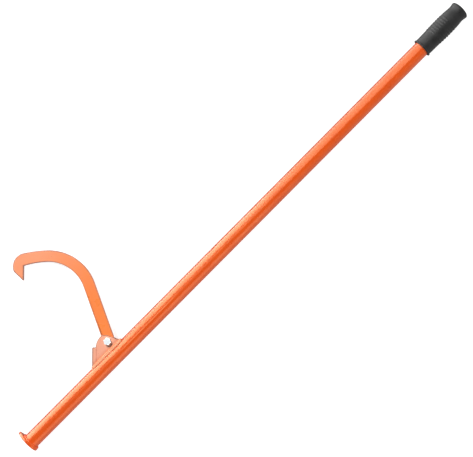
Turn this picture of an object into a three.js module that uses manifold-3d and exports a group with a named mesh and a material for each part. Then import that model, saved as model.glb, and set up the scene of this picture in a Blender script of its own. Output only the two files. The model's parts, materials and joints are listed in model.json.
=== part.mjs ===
// Cant hook, also called a log jack: a long steel tube with a pointed toe plate at one end, a rubber grip
// at the other, and a curved steel hook that swings in a clevis near the toe and bites into a log.
// It lies on its side as on a floor: the toe plate, the grip and the hook's back all touch the ground.
// X runs along the tube from toe to grip, Y points to the hook's side and Z points up. The origin is the
// centre of the toe plate's outer face. Lengths are in millimetres and angles in degrees.
import * as THREE from 'three';
import { mergeVertices } from 'three/addons/utils/BufferGeometryUtils.js';
import Module from 'manifold-3d';

const wasm = await Module();
wasm.setup();

// Overall
const toolLength = 1220.4;
const seatGap = 0.3;
const cutOverrun = 10;

// Handle tube
const tubeDiameter = 32;
const tubeWall = 2;

// Toe plate: its rim stands proud of the tube all round, and its point reaches out on the hook's side
const toePlateThickness = 5;
const toePlateRim = 4;
const toePointReach = 13.5;
const toeWeldLeg = 3.4;
const toeWeldCrownShare = 0.62;

// Hook: a flat bar with a straight arm, a wide bend and a beak that ends in a sharp claw
const hookThickness = 8;
const hookEdgeChamfer = 1;
const barWidth = 23.3;
const pivotOffCentre = 2.6;
const armLength = 118.2;
const armRestAngle = 64.8;
const bendRadius = 87.2;
const bendAngle = 72.7;
const beakBackRadius = 274;
const beakBackAngle = 9.6;
const beakThroatRadius = 184;
const beakThroatAngle = 14.5;
const crownRadius = 26.9;
const crownAngle = 100.7;
const clawLength = 30;
const clawAngle = 159.5;

// Clevis: two cheeks and a sloping stop plate, welded to the tube. A cheek's top and end are straight
// edges, each given by its distance from the pivot and the angle at which it faces outwards.
const pivotStation = 255.3;
const foldClearance = 2;
const hookSideClearance = 0.35;
const cheekThickness = 4;
const cheekTopReach = 12.2;
const cheekTopNormal = 45;
const cheekEndReach = 11.1;
const cheekEndNormal = 23.5;
const cheekNoseRadius = 9;
const cheekCrownRise = 15.9;
const cheekBackBulge = 3.6;
const stopPlateReach = 59;
const stopPlateAngle = 45;
const stopPlateLength = 40.4;
const stopPlateThickness = 8;
const stopPlateOverhang = 1;
const stopPlateTopStep = 0.6;

// Weld beads of the clevis: round rods sunk into the corners that they fill
const cheekWeldRadius = 6;
const cheekWeldSink = 1.5;
const stopWeldRadius = 3;
const stopWeldSink = 1;

// Pivot bolt and lock nut
const boltDiameter = 8;
const boltHoleClearance = 0.35;
const boltHeadHeight = 5.3;
const boltTipLength = 0.8;
const boltTipChamfer = 1;
const wrenchSize = 13;
const hexChamfer = 0.8;
const hexTopShare = 0.95;
const nutHexHeight = 5.4;
const nutCollarHeight = 2.6;
const nutCollarDiameter = 12;
const nutInsertDiameter = 10.2;
const nutCollarLip = 0.6;

// Rubber grip: its walls over the tube, and where along its length they lie
const gripLength = 112.4;
const gripEndWall = 6;
const gripDomeHeight = 7.5;
const gripFlangeThickness = 2.8;
const gripFlangeWall = 3.7;
const gripNeckWall = 2;
const gripSwellWall = 2.3;
const gripBarrelWall = 3.1;
const gripFadeWall = 2.6;
const gripWaistWall = 1.4;
const gripBulbWall = 3;
const gripStationShares = { neck: 0.05, swell: 0.24, barrel: 0.5, fade: 0.74, waist: 0.86 };

// Finger ribs, in patches round the grip's barrel
const ribCount = 7;
const ribPitch = 6.2;
const ribWidth = 3.6;
const ribHeight = 0.6;
const ribRoot = 0.5;
const ribCentreShare = 0.47;
const ribPatchCount = 4;
const ribPatchSpread = 56;
const ribPatchTurn = 28;

// Facets
const roundSegments = 48;
const bendSegments = 12;
const beadSegments = 16;
const splineSteps = 14;

// Places that follow from the sizes above
const tubeRadius = tubeDiameter / 2;
const tubeStart = toePlateThickness + seatGap;
const tubeEnd = toolLength - gripEndWall - seatGap;
const toePlateRadius = tubeRadius + toePlateRim;
const halfBar = barWidth / 2;
const halfHook = hookThickness / 2;
const pivotHeight = tubeRadius + foldClearance + halfBar + pivotOffCentre;
const cheekInnerFace = halfHook + hookSideClearance;
const cheekOuterFace = cheekInnerFace + cheekThickness;
const boltRadius = boltDiameter / 2;
const boltHoleRadius = boltRadius + boltHoleClearance;
const boltSeat = cheekOuterFace + seatGap;
const hexCornerRadius = wrenchSize / Math.sqrt(3);
const stopPlateStation = pivotStation - stopPlateReach;
const stopPlateHalfWidth = cheekOuterFace + stopPlateOverhang;
const gripStart = toolLength - gripLength;
const gripBore = tubeRadius + seatGap;

const levelNormal = 90;
const radians = THREE.MathUtils.degToRad;
const quarterTurn = Math.PI / 2;
const fullTurn = 2 * Math.PI;

function finish(color, roughness, metalness) {
  return new THREE.MeshStandardMaterial({ color, roughness, metalness });
}

const orangePaint = finish('#e85a28', 0.42, 0);
const paleOrangePaint = finish('#ff9c6c', 0.45, 0);
const hookPaint = finish('#ff8a4c', 0.42, 0);
const zincPlate = finish('#d9dde0', 0.3, 0.9);
const whiteNylon = finish('#e9e6dc', 0.5, 0);
const blackRubber = finish('#2a2b2d', 0.75, 0);

// A closed mesh as a solid that can be joined and cut
function solidOf(geometry) {
  const bare = geometry.clone();
  bare.deleteAttribute('normal');
  bare.deleteAttribute('uv');
  const merged = mergeVertices(bare);
  const corners = merged.index.array;
  const kept = [];
  for (let i = 0; i < corners.length; i += 3) {
    const [a, b, c] = corners.slice(i, i + 3);
    if (a !== b && b !== c && c !== a) kept.push(a, b, c);
  }
  const triVerts = Uint32Array.from(kept);
  const vertProperties = Float32Array.from(merged.attributes.position.array);
  return new wasm.Manifold(new wasm.Mesh({ numProp: 3, vertProperties, triVerts }));
}

function geometryOf(solid) {
  const mesh = solid.getMesh();
  const geometry = new THREE.BufferGeometry();
  geometry.setAttribute('position', new THREE.BufferAttribute(mesh.vertProperties, 3));
  geometry.setIndex(new THREE.BufferAttribute(mesh.triVerts, 1));
  geometry.computeVertexNormals();
  return geometry;
}

function extrude(outline, depth, curveSegments) {
  return new THREE.ExtrudeGeometry(outline, { depth, curveSegments, bevelEnabled: false });
}

// A profile of [distance from the axis, place along it] turned about the tube's axis
function turnedAboutTube(profile) {
  const points = profile.map(([radius, place]) => new THREE.Vector2(radius, place));
  return new THREE.LatheGeometry(points, roundSegments).rotateZ(-quarterTurn);
}

// A profile of [distance from the axis, height] turned about the Z axis
function turned(profile) {
  const points = profile.map(([radius, height]) => new THREE.Vector2(radius, height));
  return new THREE.LatheGeometry(points, roundSegments).rotateX(quarterTurn);
}

function atPivot(geometry) {
  return geometry.translate(pivotStation, pivotHeight, 0);
}

// Outlines drawn across the tube have Y as their first axis and Z as their second
function standAcrossTube(geometry) {
  const turn = new THREE.Matrix4().makeBasis(
    new THREE.Vector3(0, 1, 0), new THREE.Vector3(0, 0, 1), new THREE.Vector3(1, 0, 0));
  return geometry.applyMatrix4(turn);
}

// The room that the tube takes up, with the gap that welded pieces keep from it
function tubeRoom() {
  const radius = tubeRadius + seatGap;
  const [start, end] = [-cutOverrun, toolLength + cutOverrun];
  return solidOf(turnedAboutTube([[0, start], [radius, start], [radius, end], [0, end]]));
}

function handleTube() {
  const bore = tubeRadius - tubeWall;
  return turnedAboutTube([
    [bore, tubeStart], [tubeRadius, tubeStart], [tubeRadius, tubeEnd], [bore, tubeEnd], [bore, tubeStart]]);
}

// The toe plate has a round back, which two wide arcs draw out to a point
function toePlate() {
  const reach = tubeRadius + toePointReach;
  const flankShift = (reach ** 2 - toePlateRadius ** 2) / (2 * toePlateRadius);
  const flankRadius = toePlateRadius + flankShift;
  const flankTurn = Math.asin(reach / flankRadius);
  const outline = new THREE.Shape();
  outline.absarc(0, 0, toePlateRadius, quarterTurn, 3 * quarterTurn, false);
  outline.absarc(0, flankShift, flankRadius, -quarterTurn, flankTurn - quarterTurn, false);
  outline.absarc(0, -flankShift, flankRadius, quarterTurn - flankTurn, quarterTurn, false);
  return standAcrossTube(extrude(outline, toePlateThickness, bendSegments));
}

// A slightly crowned fillet of weld all round the foot of the tube
function toeWeld() {
  const foot = tubeRadius + seatGap;
  const crown = toeWeldCrownShare * toeWeldLeg;
  const face = new THREE.QuadraticBezierCurve(
    new THREE.Vector2(foot + toeWeldLeg, tubeStart),
    new THREE.Vector2(foot + crown, tubeStart + crown),
    new THREE.Vector2(foot, tubeStart + toeWeldLeg));
  const section = face.getPoints(bendSegments / 2).map((point) => [point.x, point.y]);
  return turnedAboutTube([[foot, tubeStart], ...section, [foot, tubeStart]]);
}

// The place on a circle where someone who walks round it anticlockwise looks along the heading
function onCircle(centre, radius, heading) {
  return new THREE.Vector2(radius * Math.sin(heading), -radius * Math.cos(heading)).add(centre);
}

function arcByHeading(outline, centre, radius, from, to) {
  outline.absarc(centre.x, centre.y, radius, from - quarterTurn, to - quarterTurn, to < from);
}

// The hook in axes of its own: the pivot at the origin, the arm along X, and the bend turning to +Y
function hookOutline() {
  const bendCentre = new THREE.Vector2(armLength, bendRadius - pivotOffCentre);
  const bendEnd = radians(bendAngle);
  const backCentre = onCircle(onCircle(bendCentre, bendRadius + halfBar, bendEnd), -beakBackRadius, bendEnd);
  const backEnd = bendEnd + radians(beakBackAngle);
  const crownCentre = onCircle(onCircle(backCentre, beakBackRadius, backEnd), -crownRadius, backEnd);
  const crownEnd = backEnd + radians(crownAngle);
  const throatStart = onCircle(bendCentre, bendRadius - halfBar, bendEnd);
  const throatCentre = onCircle(throatStart, -beakThroatRadius, bendEnd);
  const throatEnd = bendEnd + radians(beakThroatAngle);
  const claw = new THREE.Vector2(clawLength, 0).rotateAround(new THREE.Vector2(), radians(clawAngle));
  const clawTip = onCircle(throatCentre, beakThroatRadius, throatEnd).add(claw);

  const outline = new THREE.Shape();
  arcByHeading(outline, new THREE.Vector2(0, -pivotOffCentre), halfBar, -Math.PI, 0);
  arcByHeading(outline, bendCentre, bendRadius + halfBar, 0, bendEnd);
  arcByHeading(outline, backCentre, beakBackRadius, bendEnd, backEnd);
  arcByHeading(outline, crownCentre, crownRadius, backEnd, crownEnd);
  outline.lineTo(clawTip.x, clawTip.y);
  arcByHeading(outline, throatCentre, beakThroatRadius, throatEnd, bendEnd);
  arcByHeading(outline, bendCentre, bendRadius - halfBar, bendEnd, 0);
  outline.closePath();
  return outline;
}

function hook() {
  const outline = hookOutline();
  const pivotHole = new THREE.Path();
  pivotHole.absarc(0, 0, boltHoleRadius, 0, fullTurn, true);
  outline.holes.push(pivotHole);
  const plate = new THREE.ExtrudeGeometry(outline, {
    depth: hookThickness - 2 * hookEdgeChamfer,
    bevelThickness: hookEdgeChamfer,
    bevelSize: hookEdgeChamfer,
    bevelOffset: -hookEdgeChamfer,
    bevelSegments: 1,
    curveSegments: bendSegments,
  });
  plate.translate(0, 0, hookEdgeChamfer - halfHook).rotateZ(radians(armRestAngle));
  return plate.translate(pivotStation, pivotHeight, 0);
}

// A slab that leans as the stop plate does. It runs up the slope from inside the tube to the given
// top, and from the given depth inside the plate's outer face to the given depth outside it.
function stopSlab(innerDepth, outerDepth, top, halfWidth) {
  const slab = new THREE.BoxGeometry(top + cutOverrun, innerDepth + outerDepth, 2 * halfWidth);
  slab.translate((top - cutOverrun) / 2, (outerDepth - innerDepth) / 2, 0);
  return solidOf(slab.rotateZ(radians(stopPlateAngle)).translate(stopPlateStation, tubeRadius, 0));
}

// The stop plate is cut to a saddle where it stands on the tube
function stopPlate() {
  const slab = stopSlab(stopPlateThickness, 0, stopPlateLength, stopPlateHalfWidth);
  return geometryOf(slab.subtract(tubeRoom()));
}

// A place beside the stop plate's inner face, at a distance up its slope, as seen from the pivot
function besideStopPlate(distance) {
  const place = new THREE.Vector2(distance, -stopPlateThickness - seatGap);
  place.rotateAround(new THREE.Vector2(), radians(stopPlateAngle));
  return place.add(new THREE.Vector2(-stopPlateReach, tubeRadius - pivotHeight));
}

// Where two straight edges cross, each given by its distance from the pivot and the way it faces
function edgeCrossing(firstReach, firstNormal, secondReach, secondNormal) {
  const [first, second] = [radians(firstNormal), radians(secondNormal)];
  const along = firstReach * Math.sin(second) - secondReach * Math.sin(first);
  const up = secondReach * Math.cos(first) - firstReach * Math.cos(second);
  return new THREE.Vector2(along, up).divideScalar(Math.sin(second - first));
}

// Where the cheek's end edge comes down to the given height above the pivot
function cheekEndAt(rise) {
  return edgeCrossing(cheekEndReach, cheekEndNormal, rise, levelNormal);
}

// A cheek seen from its side with the pivot at the origin: from its foot inside the tube it runs up the
// end edge, round the nose, along the top edge to the crown, and down a bulged back to the stop plate
function cheekOutline() {
  const nose = edgeCrossing(
    cheekTopReach - cheekNoseRadius, cheekTopNormal, cheekEndReach - cheekNoseRadius, cheekEndNormal);
  const crown = edgeCrossing(cheekTopReach, cheekTopNormal, cheekCrownRise, levelNormal);
  const shoulder = besideStopPlate(stopPlateLength - stopPlateTopStep);
  const back = new THREE.Vector2().subVectors(crown, shoulder);
  const bulge = new THREE.Vector2(-back.y, back.x).setLength(2 * cheekBackBulge);
  bulge.add(shoulder).addScaledVector(back, 1 / 2);
  const heel = besideStopPlate(-cutOverrun);
  const toe = cheekEndAt(heel.y);

  const outline = new THREE.Shape();
  outline.moveTo(heel.x, heel.y);
  outline.lineTo(toe.x, toe.y);
  outline.absarc(nose.x, nose.y, cheekNoseRadius, radians(cheekEndNormal), radians(cheekTopNormal), false);
  outline.lineTo(crown.x, crown.y);
  outline.quadraticCurveTo(bulge.x, bulge.y, shoulder.x, shoulder.y);
  outline.closePath();
  const boltHole = new THREE.Path();
  boltHole.absarc(0, 0, boltHoleRadius, 0, fullTurn, true);
  outline.holes.push(boltHole);
  return outline;
}

function cheek(lowerFace) {
  const plate = extrude(cheekOutline(), cheekThickness, bendSegments).translate(0, 0, lowerFace);
  return geometryOf(solidOf(atPivot(plate)).subtract(tubeRoom()));
}

// The bead along a cheek's outer foot runs on beside the stop plate. The side is 1 above the hook and
// -1 below it.
function cheekWeld(side) {
  const corner = Math.sqrt(tubeRadius ** 2 - cheekOuterFace ** 2);
  const start = stopPlateStation + cheekWeldRadius / 2;
  const end = pivotStation + cheekEndAt(corner - pivotHeight).x - cheekWeldRadius / 2;
  const rod = new THREE.CapsuleGeometry(cheekWeldRadius, end - start, beadSegments / 4, beadSegments);
  rod.rotateZ(quarterTurn);
  rod.translate((start + end) / 2, corner, side * (cheekOuterFace - cheekWeldSink));
  const reach = cheekWeldRadius + cheekWeldSink + cutOverrun;
  const cheekSide = new THREE.BoxGeometry(toolLength, toolLength, reach);
  cheekSide.translate(start, 0, side * (cheekOuterFace + seatGap - reach / 2));
  const besideStop = stopPlateHalfWidth + seatGap;
  const stopRoom = stopSlab(stopPlateThickness + seatGap, reach, stopPlateLength, besideStop);
  return geometryOf(solidOf(rod).subtract(tubeRoom()).subtract(solidOf(cheekSide)).subtract(stopRoom));
}

// The bead across the stop plate's outer foot follows the line where the plate meets the tube, and
// stops short of the plate's corners
function stopWeld() {
  const spread = Math.asin(cheekOuterFace / tubeRadius);
  const places = Array.from({ length: bendSegments + 1 }, (_, i) => {
    const turn = spread * (2 * i / bendSegments - 1);
    const drop = tubeRadius * (1 - Math.cos(turn));
    const station = stopPlateStation - drop / Math.tan(radians(stopPlateAngle)) + stopWeldSink;
    const sunk = tubeRadius - stopWeldSink;
    return new THREE.Vector3(station, sunk * Math.cos(turn), sunk * Math.sin(turn));
  });
  const section = new THREE.Shape();
  section.absarc(0, 0, stopWeldRadius, 0, fullTurn, false);
  const rod = new THREE.ExtrudeGeometry(section, {
    steps: bendSegments,
    curveSegments: beadSegments / 2,
    extrudePath: new THREE.CatmullRomCurve3(places),
  });
  const reach = stopWeldRadius + stopWeldSink + cutOverrun;
  const plateSide = stopSlab(reach, seatGap, stopPlateLength, stopPlateHalfWidth + reach);
  return geometryOf(solidOf(rod).subtract(tubeRoom()).subtract(plateSide));
}

// A hexagon across the wrench size with its free end chamfered, standing on the pivot's axis
function hexBlock(height) {
  const prism = new THREE.CylinderGeometry(hexCornerRadius, hexCornerRadius, height + cutOverrun, 6);
  prism.rotateX(quarterTurn).translate(0, 0, (height + cutOverrun) / 2);
  const wide = hexCornerRadius + cutOverrun;
  const slope = hexChamfer / (hexCornerRadius - wrenchSize * hexTopShare / 2);
  const shoulder = height - hexChamfer - cutOverrun * slope;
  const chamfer = turned([
    [0, shoulder - cutOverrun], [wide, shoulder - cutOverrun], [wide, shoulder],
    [wrenchSize * hexTopShare / 2, height], [0, height]]);
  return solidOf(prism).intersect(solidOf(chamfer));
}

// The bolt's head lies on the near cheek and its tip stands out of the lock nut
function pivotBolt() {
  const tip = -(boltSeat + nutHexHeight + nutCollarHeight + boltTipLength);
  const shank = turned([
    [0, tip], [boltRadius - boltTipChamfer, tip], [boltRadius, tip + boltTipChamfer],
    [boltRadius, boltSeat + boltHeadHeight / 2], [0, boltSeat + boltHeadHeight / 2]]);
  const head = hexBlock(boltHeadHeight).translate(0, 0, boltSeat);
  return atPivot(geometryOf(solidOf(shank).add(head)));
}

// The lock nut is a hexagon with a round collar, whose lip holds the nylon ring
function lockNut() {
  const bore = boltRadius + seatGap;
  const ringRoom = nutInsertDiameter / 2 + seatGap;
  const height = nutHexHeight + nutCollarHeight;
  const collarRadius = nutCollarDiameter / 2;
  const collar = turned([
    [0, nutHexHeight / 2], [collarRadius, nutHexHeight / 2], [collarRadius, height - nutCollarLip],
    [collarRadius - nutCollarLip, height], [0, height]]);
  const hollow = turned([
    [0, -cutOverrun], [bore, -cutOverrun], [bore, nutHexHeight], [ringRoom, nutHexHeight],
    [ringRoom, height - nutCollarLip], [bore + nutCollarLip, height - nutCollarLip],
    [bore + nutCollarLip, height + cutOverrun], [0, height + cutOverrun]]);
  const nut = geometryOf(hexBlock(nutHexHeight).add(solidOf(collar)).subtract(solidOf(hollow)));
  return atPivot(nut.rotateX(Math.PI).translate(0, 0, -boltSeat));
}

function nutInsert() {
  const bore = boltRadius + seatGap;
  const rim = nutInsertDiameter / 2;
  const bottom = nutHexHeight + seatGap;
  const top = nutHexHeight + nutCollarHeight - nutCollarLip - seatGap;
  const ring = turned([[bore, bottom], [rim, bottom], [rim, top], [bore, top], [bore, bottom]]);
  return atPivot(ring.rotateX(Math.PI).translate(0, 0, -boltSeat));
}

// The grip's outside from its neck to where the domed end begins, as distances from the tube's axis
function gripSide() {
  const shares = gripStationShares;
  const at = (share, wall) => new THREE.Vector2(gripBore + wall, gripStart + share * gripLength);
  return new THREE.SplineCurve([
    at(shares.neck, gripNeckWall), at(shares.swell, gripSwellWall), at(shares.barrel, gripBarrelWall),
    at(shares.fade, gripFadeWall), at(shares.waist, gripWaistWall),
    new THREE.Vector2(gripBore + gripBulbWall, toolLength - gripDomeHeight)]).getPoints(splineSteps);
}

// The grip is a sleeve with a flange at its mouth and a domed end, which stops the tube
function gripSleeve() {
  const flange = gripBore + gripFlangeWall;
  const cavityEnd = toolLength - gripEndWall;
  const side = gripSide().map((point) => [point.x, point.y]);
  const domeStart = toolLength - gripDomeHeight;
  const dome = new THREE.EllipseCurve(0, domeStart, gripBore + gripBulbWall, gripDomeHeight, 0, quarterTurn)
    .getPoints(bendSegments / 2).slice(1, -1).map((point) => [point.x, point.y]);
  return solidOf(turnedAboutTube([
    [0, cavityEnd], [gripBore, cavityEnd], [gripBore, gripStart], [flange, gripStart],
    [flange, gripStart + gripFlangeThickness], ...side, ...dome, [0, toolLength]]));
}

// The radius of the grip's side at a place along the tube
function gripRadiusAt(side, place) {
  const next = side.findIndex((point) => point.y >= place);
  const [low, high] = [side[next - 1], side[next]];
  return THREE.MathUtils.mapLinear(place, low.y, high.y, low.x, high.x);
}

// Rings that stand out of the grip's side, joined underneath it by one band
function ribRings() {
  const side = gripSide();
  const centre = gripStart + ribCentreShare * gripLength;
  const first = centre - ribPitch * (ribCount - 1) / 2;
  const crests = Array.from({ length: ribCount }, (_, i) => {
    const middle = first + i * ribPitch;
    const [foot, crest] = [ribWidth / 2, ribWidth / 4];
    return [[-foot, -ribRoot], [-crest, ribHeight], [crest, ribHeight], [foot, -ribRoot]].map(
      ([shift, rise]) => [gripRadiusAt(side, middle + shift) + rise, middle + shift]);
  }).flat();
  const band = gripBore + gripNeckWall / 2;
  const [start, end] = [crests[0][1], crests.at(-1)[1]];
  return solidOf(turnedAboutTube([[band, start], ...crests, [band, end], [band, start]]));
}

// Sectors round the tube that keep the ribs to their patches; the first is turned from the top to +Y
function ribPatches() {
  const reach = gripBore + gripFlangeWall + cutOverrun;
  return Array.from({ length: ribPatchCount }, (_, i) => {
    const middle = quarterTurn - radians(ribPatchTurn) + i * fullTurn / ribPatchCount;
    const half = radians(ribPatchSpread) / 2;
    const sector = new THREE.Shape();
    sector.absarc(0, 0, reach, middle - half, middle + half, false);
    sector.lineTo(0, 0);
    const wedge = standAcrossTube(extrude(sector, gripLength, bendSegments));
    return solidOf(wedge.translate(gripStart, 0, 0));
  }).reduce((all, wedge) => all.add(wedge));
}

function grip() {
  return geometryOf(gripSleeve().add(ribRings().intersect(ribPatches())));
}

// The angle by which the tool leans to the hook's side when the hook's back reaches the ground
function restLean() {
  const turn = radians(armRestAngle);
  const heights = hookOutline().getPoints(bendSegments).map(
    (point) => pivotHeight + point.x * Math.sin(turn) + point.y * Math.cos(turn));
  const reach = Math.max(...heights) - hookEdgeChamfer;
  const ground = Math.max(toePlateRadius, gripBore + gripFlangeWall);
  return Math.asin(ground / Math.hypot(reach, halfHook)) - Math.atan2(halfHook, reach);
}

function piece(name, geometry, material) {
  const mesh = new THREE.Mesh(geometry, material);
  mesh.name = name;
  return mesh;
}

const cantHook = new THREE.Group();
cantHook.add(
  piece('handle_tube', handleTube(), orangePaint),
  piece('toe_plate', toePlate(), orangePaint),
  piece('toe_weld', toeWeld(), orangePaint),
  piece('stop_plate', stopPlate(), paleOrangePaint),
  piece('stop_plate_weld', stopWeld(), orangePaint),
  piece('near_cheek', cheek(cheekInnerFace), paleOrangePaint),
  piece('near_cheek_weld', cheekWeld(1), orangePaint),
  piece('far_cheek', cheek(-cheekOuterFace), paleOrangePaint),
  piece('far_cheek_weld', cheekWeld(-1), orangePaint),
  piece('hook', hook(), hookPaint),
  piece('pivot_bolt', pivotBolt(), zincPlate),
  piece('lock_nut', lockNut(), zincPlate),
  piece('nut_insert', nutInsert(), whiteNylon),
  piece('grip', grip(), blackRubber),
);
cantHook.rotation.x = -restLean();

export default cantHook;
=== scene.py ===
"""The looks of a cant hook, also called a log jack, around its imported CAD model.

The tool lies on its side on a pale studio floor and is seen from straight above. Every piece is modelled
in millimetres in the tool's own axes: X runs from the toe to the grip, Y points to the hook's side and Z
points up. Mounting a piece turns it by the small lean of a tool that rests on its hook, and brings it to
metres.
"""
import sys
import json
import logging
import math
import random
from collections.abc import Callable, Iterable, Iterator, Sequence
from contextlib import contextmanager
from dataclasses import dataclass
from enum import Enum
from typing import Any

import bmesh
import bpy
from mathutils import Matrix, Vector


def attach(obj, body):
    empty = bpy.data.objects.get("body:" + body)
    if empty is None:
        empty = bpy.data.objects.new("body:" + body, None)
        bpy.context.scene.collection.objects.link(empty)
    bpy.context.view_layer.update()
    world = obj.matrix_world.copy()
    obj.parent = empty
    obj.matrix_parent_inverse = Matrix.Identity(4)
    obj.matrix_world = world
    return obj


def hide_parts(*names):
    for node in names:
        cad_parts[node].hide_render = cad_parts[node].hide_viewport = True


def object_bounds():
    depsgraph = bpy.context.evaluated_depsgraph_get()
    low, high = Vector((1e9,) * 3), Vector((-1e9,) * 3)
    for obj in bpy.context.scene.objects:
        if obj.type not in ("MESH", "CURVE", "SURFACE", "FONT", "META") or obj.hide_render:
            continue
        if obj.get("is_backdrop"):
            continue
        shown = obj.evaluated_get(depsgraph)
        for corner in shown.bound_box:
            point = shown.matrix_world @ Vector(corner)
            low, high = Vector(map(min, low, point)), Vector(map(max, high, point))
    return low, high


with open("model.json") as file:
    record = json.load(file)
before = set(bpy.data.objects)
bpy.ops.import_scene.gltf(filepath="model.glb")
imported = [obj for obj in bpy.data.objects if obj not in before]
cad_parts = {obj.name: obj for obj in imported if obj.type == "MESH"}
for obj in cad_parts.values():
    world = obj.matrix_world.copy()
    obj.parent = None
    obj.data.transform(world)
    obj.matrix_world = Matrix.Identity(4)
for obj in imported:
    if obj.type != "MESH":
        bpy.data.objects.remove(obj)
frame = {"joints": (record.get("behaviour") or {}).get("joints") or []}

log = logging.getLogger("cant_hook")

Piece = bpy.types.Object
Material = bpy.types.Material
Tree = bpy.types.NodeTree
Socket = bpy.types.NodeSocket
Point = Sequence[float]
Layer = tuple[Socket, str]  # a layer's share of each place, and its colour
Inputs = dict[str | int, Any] | Iterable[tuple[str | int, Any]]

MM = 0.001  # a millimetre in metres
FULL_TURN, HALF_TURN, QUARTER_TURN = 2 * math.pi, math.pi, math.pi / 2
SAME_PLACE = 0.001  # corners closer than this, in millimetres, are one
# The rim marks are painted light: shade along outlines and in a crease, highlight on the seam, the toe
# plate and the grip's ribs.
PAINTED_LIGHT_MARK = "rim"  # the attribute that says how much of a paint's edge colour a place takes
FLAT = "flat"  # the vertex group of a plate's plain ground
RANGE = ("Value", "From Min", "From Max", "To Min", "To Max")  # a Map Range node's inputs
BLEND = (0, 6, 7)  # a colour Mix node's inputs: the share and the two colours
SWITCH = (0, 2, 3)  # a number Mix node's inputs: the share and the two numbers
NOISE_SPAN = (0.3, 0.7)  # nearly all values of a noise lie between these

TUBE_RADIUS = 16.0
PIVOT = (255.3, 32.25)  # the pivot's place along the tube and its height above the tube's axis
BOLT_HOLE = 4.35  # the radius of the holes that the pivot bolt goes through
PIVOT_AXIS = Vector(frame["joints"][0]["axis"])
LEAN = math.atan2(PIVOT_AXIS.y, PIVOT_AXIS.z)


class Body(Enum):
    """The CAD bodies that pieces ride on."""

    HANDLE = "handle"
    HOOK = "hook"


class Slot(Enum):
    """The record's material slots."""

    ORANGE = "orange_paint"
    CLEVIS = "clevis_paint"
    HOOK = "hook_paint"
    ZINC = "zinc_plate"
    NYLON = "white_nylon"
    RUBBER = "black_rubber"


class Side(Enum):
    """The two sides of the hook: NEAR is above it as the tool lies, and FAR is below it."""

    NEAR = 1
    FAR = -1


class Smooth(Enum):
    """The angles in degrees up to which neighbouring faces of a piece are shaded as one surface."""

    PLATE = 35
    SOFT = 60
    HEXAGON = 12


# Steps at the bench


def select_only(*pieces: Piece) -> None:
    """Selects these objects alone and makes the first one active.

    Args:
        *pieces: The objects.
    """
    bpy.ops.object.select_all(action="DESELECT")
    for piece in pieces:
        piece.select_set(True)
    bpy.context.view_layer.objects.active = pieces[0]


def settle(piece: Piece) -> Piece:
    """Brings a piece's own place, turn and scale into its mesh.

    Args:
        piece: The piece.

    Returns:
        The same piece.
    """
    select_only(piece)
    bpy.ops.object.transform_apply(location=True, rotation=True, scale=True)
    return piece


def begin(primitive: Callable[..., set[str]], name: str, **settings: Any) -> Piece:
    """Begins a piece with one of Blender's primitives.

    Args:
        primitive: The operator that adds it.
        name: The name of the new object.
        **settings: The operator's own settings.

    Returns:
        The new object, with its place and turn in its mesh.
    """
    bpy.ops.object.select_all(action="DESELECT")
    primitive(**settings)
    piece = bpy.context.object
    piece.name = name
    return settle(piece)


def bring_in(name: str, data: bpy.types.ID) -> Piece:
    """Brings a new object into the scene.

    Args:
        name: Its name.
        data: Its mesh, light or camera.

    Returns:
        The new object.
    """
    made = bpy.data.objects.new(name, data)
    bpy.context.scene.collection.objects.link(made)
    return made


def joined(pieces: Sequence[Piece]) -> Piece:
    """Joins pieces into one.

    Args:
        pieces: The pieces.

    Returns:
        The first piece, which now holds all of them.
    """
    select_only(*pieces)
    bpy.ops.object.join()
    return pieces[0]


@contextmanager
def editing(piece: Piece, everything: bool = False) -> Iterator[None]:
    """Opens a piece in edit mode for the steps inside the block.

    Args:
        piece: The object to edit.
        everything: Whether its whole mesh is selected to begin with, instead of nothing.
    """
    select_only(piece)
    bpy.ops.object.mode_set(mode="EDIT")
    bpy.ops.mesh.select_all(action="SELECT" if everything else "DESELECT")
    yield
    bpy.ops.object.mode_set(mode="OBJECT")


def pick(piece: Piece, kind: str, wanted: Callable[[Any], bool]) -> None:
    """Selects parts of a piece that is open for editing.

    Args:
        piece: The object in edit mode.
        kind: "FACE" to select faces, "VERT" to select corners.
        wanted: Says whether a face or corner is selected, from its place or its normal.
    """
    bpy.ops.mesh.select_mode(type=kind)
    bpy.ops.mesh.select_all(action="DESELECT")
    mesh = bmesh.from_edit_mesh(piece.data)
    for part in mesh.faces if kind == "FACE" else mesh.verts:
        if wanted(part):
            part.select_set(True)
    if kind == "VERT":
        mesh.select_flush_mode()
    bmesh.update_edit_mesh(piece.data)


def shape_with(piece: Piece, kind: str, **settings: Any) -> None:
    """Adds a modifier to a piece and applies it.

    Args:
        piece: The object to shape.
        kind: The modifier's type, such as "BEVEL".
        **settings: The modifier's own settings.
    """
    select_only(piece)
    modifier = piece.modifiers.new(kind, kind)
    for name, value in settings.items():
        setattr(modifier, name, value)
    bpy.ops.object.modifier_apply(modifier=modifier.name)


def cut_with(piece: Piece, tool: Piece, operation: str = "DIFFERENCE") -> None:
    """Cuts a piece with a solid tool, which is then thrown away.

    Args:
        piece: The object to cut.
        tool: The solid that cuts it.
        operation: "DIFFERENCE" takes the tool away, "INTERSECT" keeps what is inside it.
    """
    shape_with(piece, "BOOLEAN", operation=operation, object=tool, solver="EXACT")
    bpy.data.objects.remove(tool)


def drill(piece: Piece, radius: float, spot: Point = (0, 0, 0)) -> None:
    """Drills a round hole through a plate, along Z.

    Args:
        piece: The plate.
        radius: The radius of the hole.
        spot: A point on the hole's axis.
    """
    deeper_than_any_plate = 60
    cut_with(piece, begin(bpy.ops.mesh.primitive_cylinder_add, "drill", vertices=48, radius=radius,
                          depth=deeper_than_any_plate, location=spot))


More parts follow.
